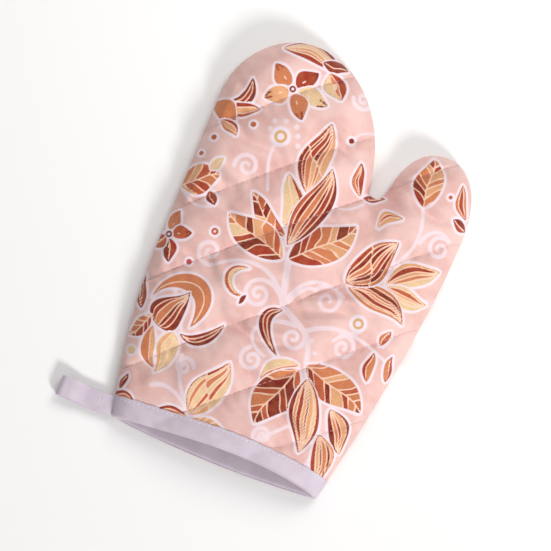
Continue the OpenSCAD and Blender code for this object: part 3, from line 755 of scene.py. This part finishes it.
def plain_cloth(name, light, deep, pitch_mm):
    """Dyed cotton: one even colour that drifts a little, with a fine rib of threads. The linings get a colour
    darker than their pale cloth: painted shade for the inside of the mouth.

    Such cloth has a thread every 0.3 to 0.4 mm; it is drawn twice as coarse so that it just shows."""
    made = new_material(name, Roughness=0.82, IOR=1.47, Specular_IOR_Level=0.3, Sheen_Weight=0.2,
                        Sheen_Roughness=0.5)
    tree = made[1]
    where = add(tree, "Attribute", attribute_name="cloth").outputs["Vector"]
    drift = add(tree, "TexNoise", {"Vector": where, "Scale": 1 / 12, "Detail": 3, "Roughness": 0.55})
    weave = plain_weave(tree, where, pitch_mm)
    shade = tinted(tree, light, (drift.outputs["Fac"], 0.32, 0.68, 0, 1, "MIX", deep),
                   (weave, 0.1, 0.9, 0.2, 0, "MULTIPLY", deep))
    return dressed(*made, shade, cotton_relief(tree, where, weave, 0.14))


def spun_thread(name, shadow, light):
    """Spun polyester sewing thread: a soft sheen, with the twist of its plies as fine slanting ribs.

    The plies are 0.3 mm long; they are drawn 1.1 mm long so that they just show."""
    made = new_material(name, Roughness=0.55, IOR=1.53, Sheen_Weight=0.15)
    tree = made[1]
    where = add(tree, "TexCoord").outputs["Object"]
    ply = add(tree, "TexWave", {"Vector": where, "Scale": 900.0, "Distortion": 1.5},
              bands_direction="DIAGONAL")
    shade = tinted(tree, shadow, (ply.outputs["Fac"], 0, 1, 0, 1, "MIX", light))
    twist = add(tree, "Bump", {"Height": ply.outputs["Fac"], "Distance": 0.00008, "Strength": 0.6})
    return dressed(*made, shade, twist.outputs[0])


def needled_wadding():
    """Needled polyester wadding: white loose fibre about 1.4 mm apart, uneven and very matte."""
    made = new_material("needled wadding", Roughness=0.95, IOR=1.5)
    tree = made[1]
    where = add(tree, "TexCoord").outputs["Object"]
    fibre = add(tree, "TexNoise", {"Vector": where, "Scale": 700.0, "Detail": 5.0, "Distortion": 1.5})
    shade = tinted(tree, "#DAD6CE", (fibre.outputs["Fac"], 0, 1, 0, 1, "MIX", "#F7F5F0"))
    tuft = add(tree, "Bump", {"Height": fibre.outputs["Fac"], "Distance": 0.0006, "Strength": 0.8})
    return dressed(*made, shade, tuft.outputs[0])


PRINT = printed_cotton()
TAPE = plain_cloth("folded cotton tape", "#D6CAD5", "#CDC0CC", 0.7)
# The linings' lilac grey is darker than the cloth itself: painted shade for the dim inside of the mouth
PAINTED_SHADE_LINING = plain_cloth("lining cotton darkened as painted shade", "#B5A5B1", "#9F8F9D", 0.8)
THREAD = spun_thread("pink polyester thread", "#C69B96", "#DCB4AE")
TAPE_THREAD = spun_thread("lilac polyester thread", "#D9CCDC", "#EFE8F2")
WADDING = needled_wadding()


# ---------------------------------------------------------------- pieces
def give(thing, **values):
    """Stores values at the vertices: three or four numbers each as a vector or colour, one as a number."""
    for name, value in values.items():
        value = np.asarray(value, np.float32)
        kind, part = {1: ("FLOAT", "value"), 3: ("FLOAT_VECTOR", "vector"), 4: ("FLOAT_COLOR", "color")}[
            value.shape[1] if value.ndim == 2 else 1]
        thing.data.attributes.new(name, kind, "POINT").data.foreach_set(part, value.ravel())


def dress(thing, material):
    """Gives a piece its material and slot."""
    thing.data.materials.append(material)
    return thing


def solid(thing, thickness_mm, material):
    """Gives a sheet its thickness on the inner side, and its material."""
    skin = thing.modifiers.new("thickness", "SOLIDIFY")
    skin.thickness = thickness_mm / 1000
    skin.offset = -1
    return dress(thing, material)


CLOTH_PLAN = np.stack([U, V, 0 * U], -1)


def cover(name, points, far, flip, cloth):
    """One printed panel, on every vertex of the cloth grid."""
    keep = far > -0.5 * STEP
    thing = new_mesh(name, points[keep], grid_faces(keep, flip))
    ink = np.concatenate([cloth.ink, np.ones(U.shape + (1,))], -1)
    give(thing, cloth=CLOTH_PLAN[keep], leaf=cloth.leaf[keep], vein=cloth.vein[keep], curl=cloth.curl[keep],
         ink=ink[keep])
    return solid(thing, COVER_T * 0.75, PRINT)


def bend_with(thing):
    """Bakes a piece's placement into its mesh."""
    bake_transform(thing)


# The two pieces of each layer: how far inside its cut a place is, the part that it belongs to, the bodies
# that it covers, and its flat width, length and area in metres
HALVES = (("upper", upper_far, "fingers", ["fingers"], (0.125, 0.2), 0.0165),
          ("lower", lower_far, "thumb", ["hand", "thumb"], (0.19, 0.25), 0.0320))


def placed(thing, layer, bodies):
    """Bakes a piece of a layer in place, and hides the CAD's pieces of that layer that it stands for."""
    bend_with(thing)
    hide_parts(*[f"{layer}_{body}" for body in bodies])
    return thing


palm_print, back_print = printed(palm, False), printed(back, True)
for half, far, part, bodies, flat, area in HALVES:
    for side, points, flip, pattern in (("palm", palm, False, palm_print), ("back", back, True, back_print)):
        thing = cover(f"{side}_cover_{half}", points, far, flip, pattern)
        placed(thing, f"{side}_cover", bodies)

# ---------------------------------------------------------------- the inner layers
inner_plan = plan + INWARD * (1.4 * np.clip(1 - deep / 14, 0, 1))[..., None]
seam_gap = 0.12
billow = smooth((deep - 5) / 12) * (1 - under_tape)
palm_lining_z = inside_z + seam_gap + 0.7 * under_tape * smooth((deep - 3) / 6) + billow * (
    -0.9 * (1 - pinch) + 0.35 * waves(U, V, 2.2))
back_lining_z = WALL_T - seam_gap + billow * (0.9 * (1 - pinch) + 0.3 * waves(U, V, 5.7)) - 0.4 * under_tape
palm_lining = panel(inner_plan, palm_slide, palm_lining_z)
back_lining = panel(inner_plan, back_slide, back_lining_z)


def coarser(k, far):
    """The same layer on every k-th vertex: which are kept, and how far the ones by the seam move onto it."""
    step = k * STEP
    near = (np.abs(seam_far) < 0.5 * step) & ~near_seam
    shift = -INWARD * np.where(near, np.clip(seam_far, -0.5 * step, 0.5 * step), 0)[..., None]
    return (far > -0.5 * step)[::k, ::k], shift[::k, ::k]


def lining(name, points, far, flip):
    """One plain panel, on every second vertex."""
    keep, shift = coarser(2, far)
    own = points[::2, ::2].copy()
    own[..., :2] += shift
    thing = new_mesh(name, own[keep], grid_faces(keep, flip))
    give(thing, cloth=CLOTH_PLAN[::2, ::2][keep])
    return solid(thing, LINING_T * 0.7, PAINTED_SHADE_LINING)


def slab(name, top, bottom, keep):
    """A closed pad: a top and a bottom grid of the same outline, and a wall round them."""
    faces = grid_faces(keep)
    count = int(keep.sum())
    corners = [np.array([f for f in faces if len(f) == n]) for n in (3, 4)]
    edges = np.concatenate([
        np.stack([c, np.roll(c, -1, axis=1)], -1).reshape(-1, 2) for c in corners if len(c)])
    lone = edges[~np.isin(edges[:, 0] * count + edges[:, 1], edges[:, 1] * count + edges[:, 0])]
    wall = np.stack([lone[:, 1], lone[:, 0], lone[:, 0] + count, lone[:, 1] + count], -1).tolist()
    under = [[i + count for i in f[::-1]] for f in faces]
    return new_mesh(name, np.concatenate([top[keep], bottom[keep]]), faces + under + wall)


def pad(name, top, bottom, far):
    """Wadding between a cover and a lining, on every third vertex, and clear of the seams and the cloth."""
    inset, clear = 3.2, 1.0
    keep = ((far > inset) & (V > 1))[::3, ::3]
    upper, lower = top[::3, ::3].copy(), bottom[::3, ::3].copy()
    middle = (upper[..., 2] + lower[..., 2]) / 2
    upper[..., 2] = np.maximum(upper[..., 2] - clear, middle + 0.15)
    lower[..., 2] = np.minimum(lower[..., 2] + clear, middle - 0.15)
    upper[..., :2] = lower[..., :2] = (upper[..., :2] + lower[..., :2]) / 2
    return dress(slab(name, upper, lower, keep), WADDING)


for half, far, part, bodies, flat, area in HALVES:
    for side, points, flip in (("palm", palm_lining, True), ("back", back_lining, False)):
        thing = placed(lining(f"{side}_lining_{half}", points, far, flip), f"{side}_lining", bodies)
    for side, top, bottom in (("palm", palm, palm_lining), ("back", back_lining, back)):
        thing = placed(pad(f"{side}_wadding_{half}", top, bottom, far), f"{side}_wadding", bodies)


# ---------------------------------------------------------------- stitches
def on_grid(points, u, v):
    """The place of a panel at grid coordinates u, v, between the four vertices round it."""
    i = np.clip((np.asarray(v) - grid_y[0]) / STEP, 0, len(grid_y) - 1.001)
    j = np.clip((np.asarray(u) - grid_x[0]) / STEP, 0, len(grid_x) - 1.001)
    a, b = np.floor(i).astype(int), np.floor(j).astype(int)
    fi, fj = (i - a)[..., None], (j - b)[..., None]
    low = mix(points[a, b], points[a, b + 1], fj)
    return mix(low, mix(points[a + 1, b], points[a + 1, b + 1], fj), fi)


def unit(v):
    """The same directions with a length of one."""
    return v / np.maximum(np.linalg.norm(v, axis=-1, keepdims=True), 1e-9)


def reach_along(path):
    """The distance from a path's start to each of its points."""
    return np.concatenate([[0], np.cumsum(np.linalg.norm(np.diff(path, axis=0), axis=1))])


def places(path, reach, at):
    """Places on a path at distances from its start."""
    return np.stack([np.interp(at, reach, path[:, k]) for k in range(3)], -1)


def resampled(path, n):
    """n places along a path, evenly by its length."""
    reach = reach_along(path)
    return places(path, reach, np.linspace(0, reach[-1], n))


def spaced(path, gap):
    """Places along a path a gap apart, by its length, with the direction at each."""
    reach = reach_along(path)
    at = np.arange(gap / 2, reach[-1] - gap / 2, gap)
    place = places(path, reach, at)
    return place, unit(places(path, reach, at + gap / 4) - place)


RING = np.linspace(0, 2 * math.pi, 6, endpoint=False)[:, None]
CAPSULE = np.array([(-1, 0.15), (-0.86, 0.75), (-0.35, 1), (0.35, 1), (0.86, 0.75), (1, 0.15)])


def tube_faces(rings, sides, closed_ends=True):
    """Faces of one tube of rings by sides vertices, with its ends closed."""
    i, j = np.meshgrid(np.arange(rings - 1), np.arange(sides), indexing="ij")
    a = i * sides + j
    b = i * sides + (j + 1) % sides
    faces = np.stack([a, b, b + sides, a + sides], -1).reshape(-1, 4).tolist()
    if closed_ends:
        faces += [list(range(sides))[::-1], [(rings - 1) * sides + k for k in range(sides)]]
    return faces


def stitch_row(name, rows, length, gap, radius, thread=THREAD):
    """Sewn stitches: for every place along each row, a short round-ended thread.

    A vertex is place + along * length/2 * c + up * 0.35 * radius * (1 - c squared)
    + radius * w * (side * cos + up * sin), with c and w from the capsule's outline."""
    points = []
    for path, up in rows:
        place, along = spaced(path, length + gap)
        if not len(place):
            continue
        tall = places(up, np.linspace(0, 1, len(up)), np.linspace(0, 1, len(place)))
        side = unit(np.cross(along, tall))
        tall = np.cross(side, along)
        place, along, side, tall = [value[:, None, None] for value in (place, along, side, tall)]
        c, w = CAPSULE.T[:, :, None, None]
        around = side * np.cos(RING) + tall * np.sin(RING)
        body = place + along * (length / 2 * c) + tall * (0.35 * radius * (1 - c ** 2))
        points.append((body + radius * w * around).reshape(-1, len(c) * len(RING), 3))
    points = np.concatenate(points)
    one = tube_faces(len(CAPSULE), len(RING))
    shift = (np.arange(len(points)) * points.shape[1])[:, None, None]
    faces = []
    for corners in (4, 6):
        kind = np.array([f for f in one if len(f) == corners])
        faces += (kind[None] + shift).reshape(-1, corners).tolist()
    return dress(new_mesh(name, points.reshape(-1, 3), faces), thread)


def quilting_paths(points, out, finger_part):
    """Each quilting row as the places and outward directions along it, in the groove's bottom."""
    rows = []
    ax, ay = ACROSS
    for number, c in enumerate(ROWS):
        s = np.arange(-80, 300, 0.7)
        u, v = c * ax + s * ay, c * ay - s * ax
        inside = (u > grid_x[0]) & (u < grid_x[-1]) & (v > TAPE_W + 1.5) & (v < grid_y[-1])
        far = np.where(inside, on_grid(seam_far[..., None], u, v)[..., 0], -9)
        fingers = (u < PART_X) & (number > PART_ROW)
        mine = (far > 2.6) & (fingers if finger_part else ~fingers)
        runs = np.split(np.arange(len(s)), np.nonzero(np.diff(mine.astype(int)))[0] + 1)
        for run in runs:
            if len(run) > 12 and mine[run[0]]:
                place = on_grid(points, u[run], v[run])
                along = unit(np.gradient(place, axis=0))
                over = on_grid(points, u[run] + ax, v[run] + ay) - on_grid(points, u[run] - ax, v[run] - ay)
                rows.append((place, out * unit(np.cross(along, over))))
    return rows


for half, far, part, bodies, flat, area in HALVES:
    for side, points, out in (("palm", palm, 1), ("back", back, -1)):
        rows = quilting_paths(points, out, half == "upper")
        thing = stitch_row(f"{side}_quilting_{half}", rows, length=2.5, gap=0.9, radius=0.2)
        placed(thing, f"{side}_quilting", bodies)


def thread_along(name, path, radius):
    """A round thread along a level path: radius * (side * cos + up * sin) round each place."""
    up = np.array([0, 0, 1.0])
    side = unit(np.cross(unit(np.gradient(path, axis=0)), up))[:, None]
    points = (path[:, None] + radius * (side * np.cos(RING) + up * np.sin(RING))).reshape(-1, 3)
    thing = new_mesh(name, points, [f[::-1] for f in tube_faces(len(path), len(RING))])
    return dress(thing, THREAD)


# The side seam's thread, 1 mm in from the edge, in three runs that part at the crotch and across from it
seam_dir = unit(np.gradient(SEAM, axis=0))
inset_seam = np.insert(SEAM + np.stack([seam_dir[:, 1], -seam_dir[:, 0]], -1), 2, WALL_T, axis=1)
on_upper = (SEAM[:, 0] < CROTCH[0]) & (across_rows(*SEAM.T) > PART_C - 0.2)
first, last = np.nonzero(on_upper)[0][[0, -1]]
for run, part, path in (("upper", "fingers", inset_seam[first:last + 1]),
                        ("lower_left", "hand", inset_seam[2:first + 1]),
                        ("lower_right", "thumb", inset_seam[last:-2])):
    thing = thread_along(f"side_seam_{run}", path, SEAM_THREAD_R)
    if part == "hand":
        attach(thing, "hand")
    else:
        bend_with(thing)
    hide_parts(f"side_seam_{part}")

# ---------------------------------------------------------------- cuff binding
AROUND = 200


def seam_ends(v):
    """The seam's x on the left and right at height v above the cuff's edge."""
    lines = bezier(CURVES[0], 60), bezier(CURVES[-1], 60)[::-1]
    return [np.interp(v, line[:, 1], line[:, 0]) for line in lines]


def smoothed(loop, passes):
    """A closed line of places, each pass a quarter of both neighbours and half of itself."""
    for _ in range(passes):
        loop = (np.roll(loop, 1, axis=0) + 2 * loop + np.roll(loop, -1, axis=0)) / 4
    return loop


def outward(loop):
    """The direction out of a closed line round the cuff, square to the line and to the mitt's length."""
    along = np.roll(loop, -1, axis=0) - np.roll(loop, 1, axis=0)
    return unit(np.stack([-along[:, 2], 0 * along[:, 0], along[:, 0]], -1))


def joined(over, under):
    """One closed line round the cuff, from a line across the palm side and one back across the back."""
    return smoothed(np.concatenate([resampled(line, AROUND + 1)[:-1] for line in (over, under[::-1])]), 5)


def outer_loop(v, lift):
    """Round the outside of the cuff at height v: along the palm cover, then back along the back cover."""
    low, high = seam_ends(v)
    u = np.linspace(low, high, 260)
    loop = joined(on_grid(palm, u, v), on_grid(back, u, v))
    return smoothed(loop + lift * outward(loop), 3)


def inner_loop(v, lift):
    """Round the inside of the mouth at height v: along the palm lining, then back along the back lining."""
    low, high = seam_ends(v)
    u = np.linspace(low + 3.4, high - 3.4, 260)
    over, under = on_grid(palm_lining, u, v), on_grid(back_lining, u, v)
    under[:, 2] += lift
    over[:, 2] = np.maximum(over[:, 2] - lift, under[:, 2] + 0.1)
    return joined(over, under)


def binding_rows():
    """The tape's profile, as closed lines round the mouth.

    The outer flange comes down the covers, the fold is half an ellipse round the edge, and the inner
    flange goes back up the linings."""
    place = np.arange(2 * AROUND)
    tug = 0.16 * np.sin(place * 2 * math.pi / 11.3 + np.sin(place / 9)) + 0.1 * np.sin(place / 13)
    rows = []
    heights = np.array([13.55, 13.5, 13.1, 12.4, 11.6, 10.9, 9.8, 8.4, 7.0, 5.6, 4.2, 3.0, 2.0])
    lifts = np.array([0.25, 0.75, 0.95, 0.85, 0.62, 0.8, 0.9, 0.92, 0.9, 0.88, 0.85, 0.8, 0.8])
    for v, lift in zip(heights, lifts):
        loop = outer_loop(v, lift)
        loop[:, 1] += smooth((v - 10.5) / 2.5) * tug
        loop[:, 2] = np.maximum(loop[:, 2], 0.12)
        rows.append(loop)
    start, finish = rows[-1], inner_loop(2.0, 0.75)
    turns = np.linspace(0, math.pi, 11)[1:-1]
    for turn in turns:
        row = mix(start, finish, (1 - math.cos(turn)) / 2)
        row[:, 1] -= 2.3 * math.sin(turn)
        rows.append(row)
    inner = np.array([3.0, 4.5, 6.5, 8.5, 10.5, 11.8, 12.4, 12.5])
    rows += [finish] + [inner_loop(v, 0.75 if v < 12.45 else 0.2) for v in inner]
    return np.array(rows), np.concatenate([heights, 2 - 4 * turns / math.pi, [-2], -inner])


ring, ring_flat = binding_rows()
ring_faces = [f[::-1] for f in tube_faces(*ring.shape[:2], closed_ends=False)]
binding = new_mesh("cuff_binding_tape", ring.reshape(-1, 3), ring_faces)
run_x, run_y = np.meshgrid(np.linspace(0, 300, ring.shape[1]), ring_flat)
give(binding, cloth=np.stack([run_x, run_y, 0 * run_x], -1).reshape(-1, 3))
solid(binding, 0.6, TAPE)
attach(binding, "hand")
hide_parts("cuff_binding")

stitch_line = ring[4]
closed, closed_up = [np.concatenate([line, line[:1]]) for line in (stitch_line, outward(stitch_line))]
sewn = stitch_row("binding_stitches", [(closed + 0.05 * closed_up, closed_up)], length=2.2, gap=1.0,
                  radius=0.27, thread=TAPE_THREAD)
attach(sewn, "hand")
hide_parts("binding_stitching")

# ---------------------------------------------------------------- hanging loop
LOOP_Z, LEG_GAP = 4.3, 0.85
EYE_X = -LOOP_REACH + EYE_R + LOOP_LEG_T


def loop_path():
    """The middle of the tape: out along the lower leg, round the eye and back along the upper leg."""
    turn = np.linspace(-math.pi / 2, -1.5 * math.pi, 34)
    r = EYE_R + LOOP_LEG_T / 2
    eye = np.stack([EYE_X + r * np.cos(turn), LOOP_Z + r * np.sin(turn)], -1)
    x = np.linspace(-72, EYE_X, 60)
    gap = LEG_GAP + (r - LEG_GAP) * smooth((-90 - x) / 13)
    lower, upper = [np.stack([x, LOOP_Z + sign * gap], -1) for sign in (-1, 1)]
    return np.concatenate([lower[:-1], eye, upper[::-1][1:]])


def hanging_loop():
    """The tape's rounded cross-section, carried along the loop's path."""
    path = loop_path()
    along = unit(np.gradient(path, axis=0))
    out = np.stack([along[:, 1], -along[:, 0]], -1)
    turn = np.linspace(0, 2 * math.pi, 20, endpoint=False)
    across = TAPE_W / 2 * np.sign(np.cos(turn)) * np.abs(np.cos(turn)) ** 0.25
    thick = LOOP_LEG_T / 2 * np.sign(np.sin(turn)) * np.abs(np.sin(turn)) ** 0.6
    x, z = [path[:, k, None] + out[:, k, None] * thick for k in (0, 1)]
    y = TAPE_W / 2 + across + 0.25 * np.sin(path[:, 0, None] / 6)
    thing = new_mesh("hanging_loop_tape", np.stack([x, y, z], -1).reshape(-1, 3), tube_faces(*x.shape))
    give(thing, cloth=np.stack([reach_along(path)[:, None] + 0 * x, y, 0 * x], -1).reshape(-1, 3))
    return dress(thing, TAPE)


hanger = hanging_loop()
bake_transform(hanger)
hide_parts("hanging_loop")

loop_rows = []
for x in (-80.5, -83.0):
    for side in (1.0, -1.0):
        z = LOOP_Z + side * (LEG_GAP + LOOP_LEG_T / 2 + 0.02)
        row = np.array([(x, y, z) for y in np.linspace(1.2, TAPE_W - 1.2, 12)])
        loop_rows.append((row, np.broadcast_to([0, 0, side], row.shape)))
tack = stitch_row("loop_stitches", loop_rows, length=2.0, gap=0.8, radius=0.24, thread=TAPE_THREAD)
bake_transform(tack)
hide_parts("loop_stitching")

# ---------------------------------------------------------------- floor, light and camera
def stage_and_light():
    """Pale matte floor, a small key lamp on the thumb's side, a broad weak fill and a lamp by the tips."""
    bpy.ops.mesh.primitive_plane_add(size=6, location=(0, 0, 0))
    floor = bpy.context.object
    floor.name = "floor"
    floor.data.materials.append(new_material("matte studio paper", Base_Color="#F6F5F4", Roughness=0.9)[0])
    world = bpy.data.worlds.new("studio")
    bpy.context.scene.world = world
    world.use_nodes = True
    bpy.context.scene.view_settings.view_transform = "Standard"
    sky = world.node_tree.nodes["Background"].inputs
    sky["Color"].default_value, sky["Strength"].default_value = (1, 1, 1, 1), 0.34
    for name, at, size, power in (("key", (1.9, -1.7, 1.6), 0.6, 60), ("fill", (-0.8, 0.7, 1.2), 1.2, 3.2),
                                  ("side", (0.18, 0.55, 0.75), 0.6, 4.2)):
        lamp = bpy.data.lights.new(name, "AREA")
        lamp.shape, lamp.size, lamp.energy = "SQUARE", size, power
        thing = bpy.data.objects.new(name, lamp)
        bpy.context.scene.collection.objects.link(thing)
        thing.location = at
        thing.rotation_euler = (-Vector(at)).to_track_quat("-Z", "Y").to_euler()


stage_and_light()


def place_camera():
    """Looks down on the palm from a little towards the cuff, with the mitt leaning clockwise in the view."""
    distance, rise, roll = 1.15, math.radians(80), math.radians(22.1)
    view_width = 0.3601  # metres across the view, where the mitt lies
    aim = Vector((-0.0017, -0.0158, 0.012))
    camera = bpy.data.cameras.new("camera")
    camera.lens = camera.sensor_width * distance / view_width
    thing = bpy.data.objects.new("camera", camera)
    bpy.context.scene.collection.objects.link(thing)
    back = Vector((0, -math.cos(rise), math.sin(rise)))
    up = Vector((0, math.sin(rise), math.cos(rise)))
    up = Matrix.Rotation(roll, 3, back) @ up
    side = up.cross(back)
    turn = Matrix((side, up, back)).transposed().to_4x4()
    thing.matrix_world = Matrix.Translation(aim + back * distance) @ turn
    bpy.context.scene.camera = thing


place_camera()
